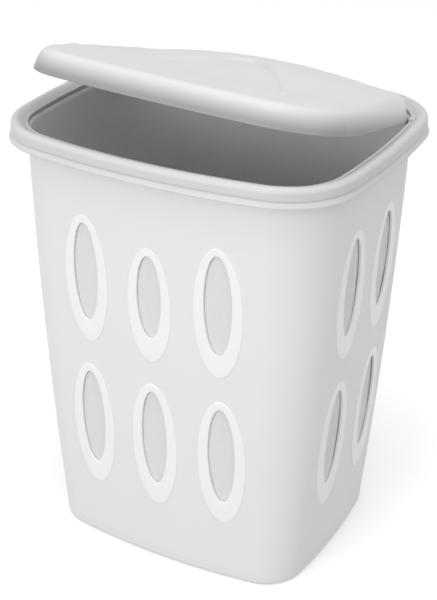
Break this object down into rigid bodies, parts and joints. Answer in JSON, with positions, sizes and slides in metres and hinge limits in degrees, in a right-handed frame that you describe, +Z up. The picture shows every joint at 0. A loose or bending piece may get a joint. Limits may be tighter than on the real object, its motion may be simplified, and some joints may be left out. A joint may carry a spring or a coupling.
{
  "type": "laundry hamper",
  "caption": "Tapered plastic laundry hamper with oval vents, a rolled rim, a tipping domed lid and a fabric liner bag.",
  "frame": {"origin": "centre of the base, on the surface that the hamper stands on", "axes": "+Z up, front towards -Y, the lid pivots near the back corners towards +Y, +X to the right"},
  "size_m": [0.4512, 0.387, 0.638],
  "materials": {
    "tub_plastic": "fine satin, pale grey white",
    "rim_plastic": "smooth satin, pale grey white",
    "lid_plastic": "smooth satin, near white",
    "ring_plastic": "smooth, white",
    "pin_plastic": "smooth, pale",
    "liner_fabric": "woven cotton blend, pale outside, grey inside",
    "hem_fabric": "folded and stitched hem, grey"
  },
  "bodies": {
    "hamper": {"liner_bag": "liner_fabric", "liner_hem": "hem_fabric", "pivot_pin_left": "pin_plastic", "pivot_pin_right": "pin_plastic", "rim_collar": "rim_plastic", "tub": "tub_plastic", "vent_ring_back_lower_centre": "ring_plastic", "vent_ring_back_lower_left": "ring_plastic", "vent_ring_back_lower_right": "ring_plastic", "vent_ring_back_upper_centre": "ring_plastic", "vent_ring_back_upper_left": "ring_plastic", "vent_ring_back_upper_right": "ring_plastic", "vent_ring_front_lower_centre": "ring_plastic", "vent_ring_front_lower_left": "ring_plastic", "vent_ring_front_lower_right": "ring_plastic", "vent_ring_front_upper_centre": "ring_plastic", "vent_ring_front_upper_left": "ring_plastic", "vent_ring_front_upper_right": "ring_plastic", "vent_ring_left_lower_back": "ring_plastic", "vent_ring_left_lower_front": "ring_plastic", "vent_ring_left_upper_back": "ring_plastic", "vent_ring_left_upper_front": "ring_plastic", "vent_ring_right_lower_back": "ring_plastic", "vent_ring_right_lower_front": "ring_plastic", "vent_ring_right_upper_back": "ring_plastic", "vent_ring_right_upper_front": "ring_plastic"},
    "lid": {"lid": "lid_plastic"}
  },
  "joints": [
    {"name": "lid_pivot", "type": "hinge", "parent": "hamper", "child": "lid", "pos_m": [0, 0.104, 0.55], "axis": [-1, 0, 0], "range_deg": [-15.2, 94.8]}
  ]
}
